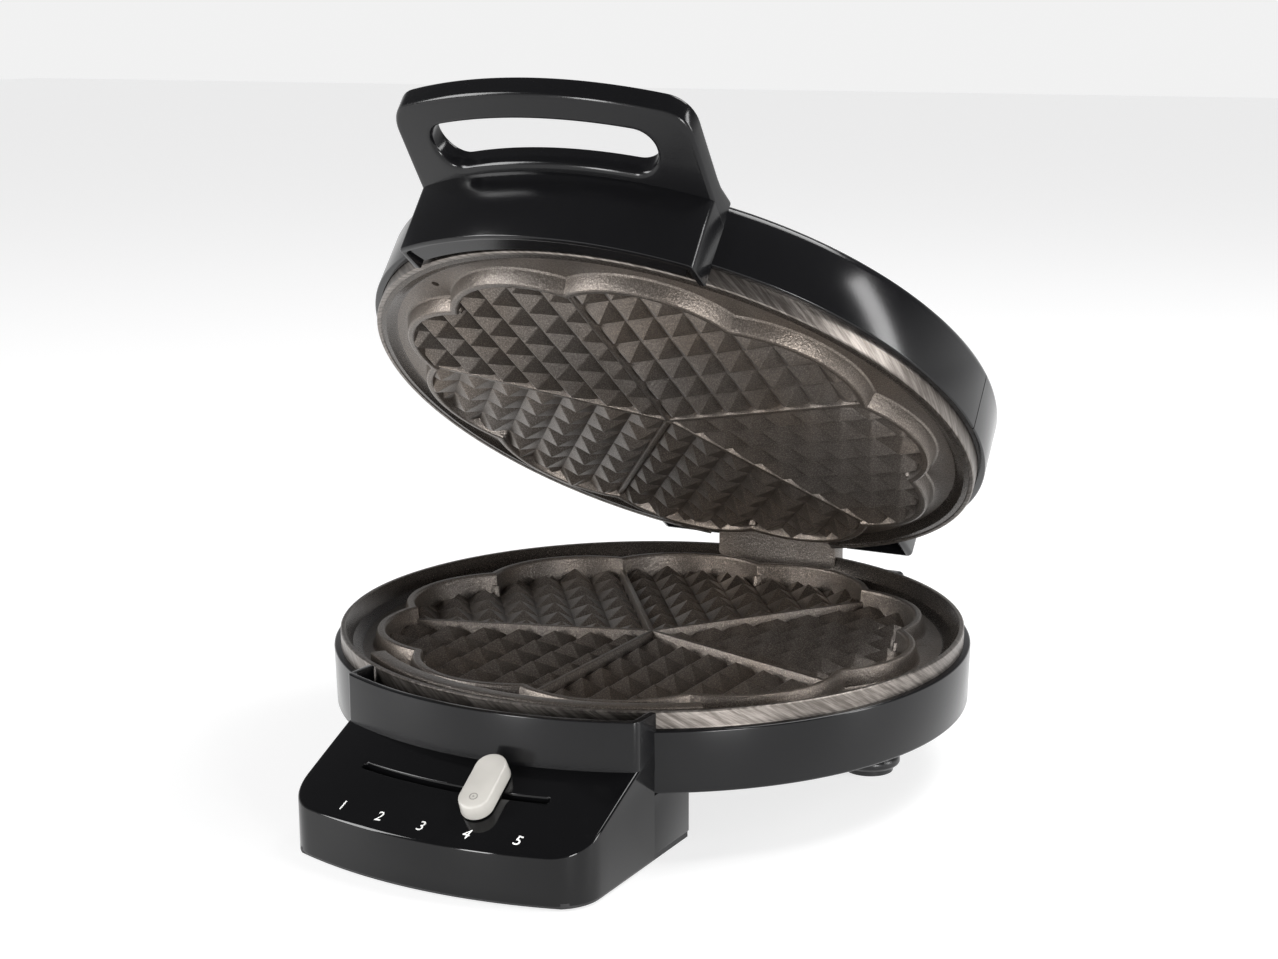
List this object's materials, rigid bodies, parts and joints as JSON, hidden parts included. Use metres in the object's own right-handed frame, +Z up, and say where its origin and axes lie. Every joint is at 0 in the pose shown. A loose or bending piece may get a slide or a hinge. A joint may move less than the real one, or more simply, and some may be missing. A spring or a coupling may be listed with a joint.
{
  "type": "waffle maker",
  "caption": "Round clamshell waffle maker with heart-shaped baking fields, a lid with a loop handle held partly open, and a sliding browning lever on a sloping front panel.",
  "frame": {"origin": "middle of the footprint box on the table, with the lid as drawn; the round housing's axis is 15 mm towards -Y", "axes": "+Z up, -Y towards the user (control panel and handle), +Y towards the hinge"},
  "size_m": [0.24, 0.2961, 0.2563],
  "materials": {
    "housing_gloss": "polished black heat-resistant plastic with a faint texture",
    "base_matte": "matte black plastic",
    "feet": "black rubber-like feet",
    "plate_coated": "cast aluminium with a dark speckled non-stick coating and machined rim",
    "heater_steel": "tubular heating element",
    "sheet_aluminium": "plain sheet",
    "steel_parts": "zinc-plated steel",
    "ceramic": "cream ceramic",
    "lead_sleeve": "glass-fibre sleeved lead",
    "lever_grey": "satin light warm-grey plastic"
  },
  "bodies": {
    "base": {"lower_housing": "housing_gloss", "base_cover": "base_matte", "control_housing": "housing_gloss", "control_base": "base_matte", "control_pads": "feet", "lower_plate": "plate_coated", "lower_heater": "heater_steel", "lower_reflector": "sheet_aluminium", "plate_screws": "steel_parts", "thermostat": "ceramic", "thermostat_bracket": "sheet_aluminium", "thermal_fuse": "ceramic", "terminal_block": "ceramic", "inner_leads": "lead_sleeve", "cord_gland": "base_matte", "legs": "feet", "leg_pads": "feet", "base_screws": "steel_parts", "control_screws": "steel_parts"},
    "lever": {"lever_arm": "steel_parts", "control_lever": "lever_grey", "thermostat_spindle": "steel_parts"},
    "lid": {"upper_housing": "housing_gloss", "lid_handle": "housing_gloss", "upper_plate": "plate_coated", "upper_heater": "heater_steel", "upper_reflector": "sheet_aluminium", "upper_plate_screws": "steel_parts", "handle_screws": "steel_parts", "hinge_pin": "steel_parts", "hinge_clips": "steel_parts", "lid_fuse": "ceramic", "lid_leads": "lead_sleeve"}
  },
  "joints": [
    {"name": "lid_hinge", "type": "hinge", "parent": "base", "child": "lid", "pos_m": [0, 0.1286, 0.0684], "axis": [-1, 0, 0], "range_deg": [-37.3, 60.7]},
    {"name": "lever_turn", "type": "hinge", "parent": "base", "child": "lever", "pos_m": [0, 0.015, 0.028], "axis": [0, 0, 1], "range_deg": [-18.3, 6.3]}
  ]
}
